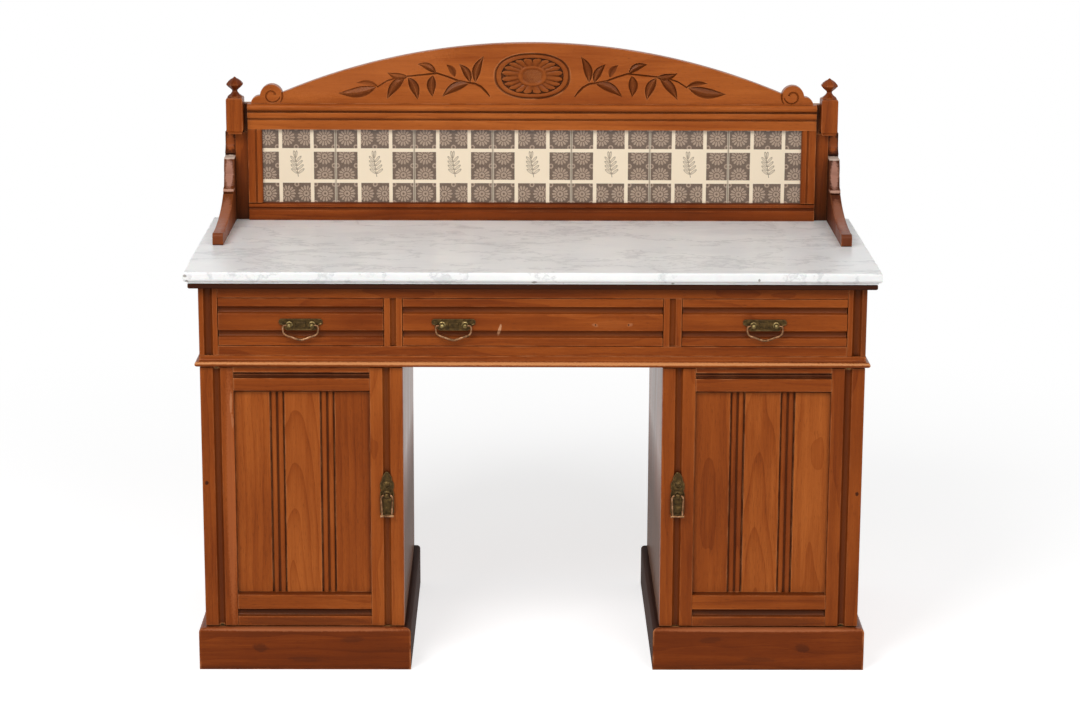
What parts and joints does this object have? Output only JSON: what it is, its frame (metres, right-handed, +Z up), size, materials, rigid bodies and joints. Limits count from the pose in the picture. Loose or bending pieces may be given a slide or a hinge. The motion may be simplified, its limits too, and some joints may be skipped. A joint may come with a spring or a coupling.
{
  "type": "washstand",
  "caption": "Pedestal washstand with a marble slab over drawers and panelled cupboards, and a tiled upstand with shaped wings and a carved arched pediment.",
  "frame": {"origin": "on the floor under the middle of the whole washstand", "axes": "+X along the width to the right as seen from the front, +Y to the back, +Z up"},
  "size_m": [1.25, 0.534, 1.0983],
  "materials": {
    "walnut": "satin",
    "dark_walnut": "satin",
    "pine": "matte",
    "marble": "satin",
    "tile": "gloss",
    "brass": "satin"
  },
  "bodies": {
    "carcase": {"frieze_ends": "walnut", "frieze_stiles": "walnut", "frieze_dividers": "walnut", "frieze_top_rail": "walnut", "frieze_bottom_rail": "walnut", "waist_board": "walnut", "waist_moulding": "walnut", "left_outer_side": "walnut", "left_inner_side": "walnut", "right_inner_side": "walnut", "right_outer_side": "walnut", "left_plinth": "walnut", "right_plinth": "walnut", "upstand_top_rail": "walnut", "upstand_bottom_rail": "walnut", "upstand_stiles": "walnut", "upstand_posts": "walnut", "finials": "walnut", "wings": "walnut", "pediment": "walnut", "drawer_partitions": "pine", "frieze_back": "pine", "drawer_runners": "pine", "drawer_kickers": "pine", "drawer_stops": "pine", "plinth_blocks": "pine", "pedestal_bottoms": "pine", "pedestal_tops": "pine", "pedestal_backs": "pine", "pedestal_shelves": "pine", "shelf_battens": "pine", "upstand_back": "pine", "pivot_sockets": "brass", "door_catches": "brass", "sub_top": "dark_walnut", "marble_top": "marble", "tiles": "tile"},
    "left_door": {"left_door_frame": "walnut", "left_door_panel": "walnut", "left_door_pivots": "brass", "left_pull_plate": "brass"},
    "left_pull": {"left_pull_drop": "brass"},
    "right_door": {"right_door_frame": "walnut", "right_door_panel": "walnut", "right_door_pivots": "brass", "right_pull_plate": "brass"},
    "right_pull": {"right_pull_drop": "brass"},
    "left_drawer": {"left_drawer_front": "walnut", "left_drawer_box": "pine", "left_handle_plate": "brass"},
    "left_bail": {"left_handle_bail": "brass"},
    "centre_drawer": {"centre_drawer_front": "walnut", "centre_drawer_box": "pine", "centre_handle_plate": "brass"},
    "centre_bail": {"centre_handle_bail": "brass"},
    "right_drawer": {"right_drawer_front": "walnut", "right_drawer_box": "pine", "right_handle_plate": "brass"},
    "right_bail": {"right_handle_bail": "brass"}
  },
  "joints": [
    {"name": "left_door_hinge", "type": "hinge", "parent": "carcase", "child": "left_door", "pos_m": [-0.592, -0.232, 0.326], "axis": [0, 0, -1], "range_deg": [0, 100]},
    {"name": "left_pull_swing", "type": "hinge", "parent": "left_door", "child": "left_pull", "pos_m": [-0.265, -0.2515, 0.333], "axis": [-1, 0, 0], "range_deg": [0, 85]},
    {"name": "right_door_hinge", "type": "hinge", "parent": "carcase", "child": "right_door", "pos_m": [0.592, -0.232, 0.326], "axis": [0, 0, 1], "range_deg": [0, 100]},
    {"name": "right_pull_swing", "type": "hinge", "parent": "right_door", "child": "right_pull", "pos_m": [0.265, -0.2515, 0.333], "axis": [-1, 0, 0], "range_deg": [0, 85]},
    {"name": "left_drawer_slide", "type": "slide", "parent": "carcase", "child": "left_drawer", "axis": [0, -1, 0], "range_m": [0, 0.33]},
    {"name": "left_bail_swing", "type": "hinge", "parent": "left_drawer", "child": "left_bail", "pos_m": [-0.4175, -0.2515, 0.6507], "axis": [-1, 0, 0], "range_deg": [0, 85]},
    {"name": "centre_drawer_slide", "type": "slide", "parent": "carcase", "child": "centre_drawer", "axis": [0, -1, 0], "range_m": [0, 0.33]},
    {"name": "centre_bail_swing", "type": "hinge", "parent": "centre_drawer", "child": "centre_bail", "pos_m": [-0.1427, -0.2515, 0.6507], "axis": [-1, 0, 0], "range_deg": [0, 85]},
    {"name": "right_drawer_slide", "type": "slide", "parent": "carcase", "child": "right_drawer", "axis": [0, -1, 0], "range_m": [0, 0.33]},
    {"name": "right_bail_swing", "type": "hinge", "parent": "right_drawer", "child": "right_bail", "pos_m": [0.4175, -0.2515, 0.6507], "axis": [-1, 0, 0], "range_deg": [0, 85]}
  ]
}
